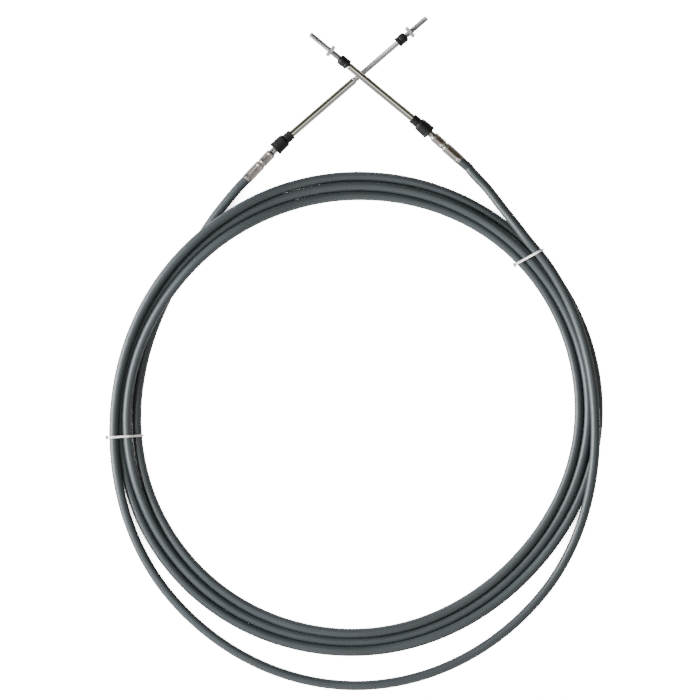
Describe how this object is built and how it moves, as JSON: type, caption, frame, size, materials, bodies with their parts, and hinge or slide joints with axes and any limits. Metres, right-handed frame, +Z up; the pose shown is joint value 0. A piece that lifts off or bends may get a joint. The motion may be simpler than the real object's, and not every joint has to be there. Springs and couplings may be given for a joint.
{
  "type": "marine push-pull control cable",
  "caption": "Coiled push-pull throttle and shift cable with swivelling support tubes, sliding threaded rods, jam nuts and cable ties.",
  "frame": {"origin": "middle of the whole part's box, on the floor that the coil lies on", "axes": "+Z up out of the flat coil; +Y towards the two ends with the rods; +X to the right of the coil as seen from above"},
  "size_m": [0.433, 0.5859, 0.0242],
  "materials": {
    "jacket": "satin slate-grey extruded jacket",
    "hub": "crimped stainless steel with lengthwise marks",
    "tube": "bright polished stainless steel",
    "rod": "ground stainless steel, duller on the thread",
    "nut": "turned stainless steel",
    "rubber": "moulded black rubber, matt",
    "tie": "natural white nylon"
  },
  "bodies": {
    "root": {"conduit": "jacket", "hub_a": "hub", "hub_b": "hub", "cable_tie_left": "tie", "cable_tie_right": "tie"},
    "swivel_a": {"swivel_tube_a": "tube", "boot_a": "rubber"},
    "slider_a": {"rod_a": "rod", "rod_seal_a": "rubber", "jam_nut_a": "nut"},
    "swivel_b": {"swivel_tube_b": "tube", "boot_b": "rubber"},
    "slider_b": {"rod_b": "rod", "rod_seal_b": "rubber", "jam_nut_b": "nut"}
  },
  "joints": [
    {"name": "swivel_a_turn", "type": "hinge", "parent": "root", "child": "swivel_a", "pos_m": [-0.06408, 0.18129, 0.0065], "axis": [0, 0, 1], "range_deg": [-2.45, 13.55], "deforming": ["boot_a"]},
    {"name": "rod_a_slide", "type": "slide", "parent": "swivel_a", "child": "slider_a", "axis": [0.7576, 0.6528, 0], "range_m": [-0.049, 0]},
    {"name": "swivel_b_turn", "type": "hinge", "parent": "root", "child": "swivel_b", "pos_m": [0.06158, 0.19529, 0.009], "axis": [0, 0, 1], "range_deg": [-10.45, 5.55], "deforming": ["boot_b"]},
    {"name": "rod_b_slide", "type": "slide", "parent": "swivel_b", "child": "slider_b", "axis": [-0.7707, 0.6308, 0.0906], "range_m": [0, 0.049]}
  ],
  "couplings": [
    {"joint": "rod_b_slide", "follows": "rod_a_slide", "ratio": -1}
  ]
}
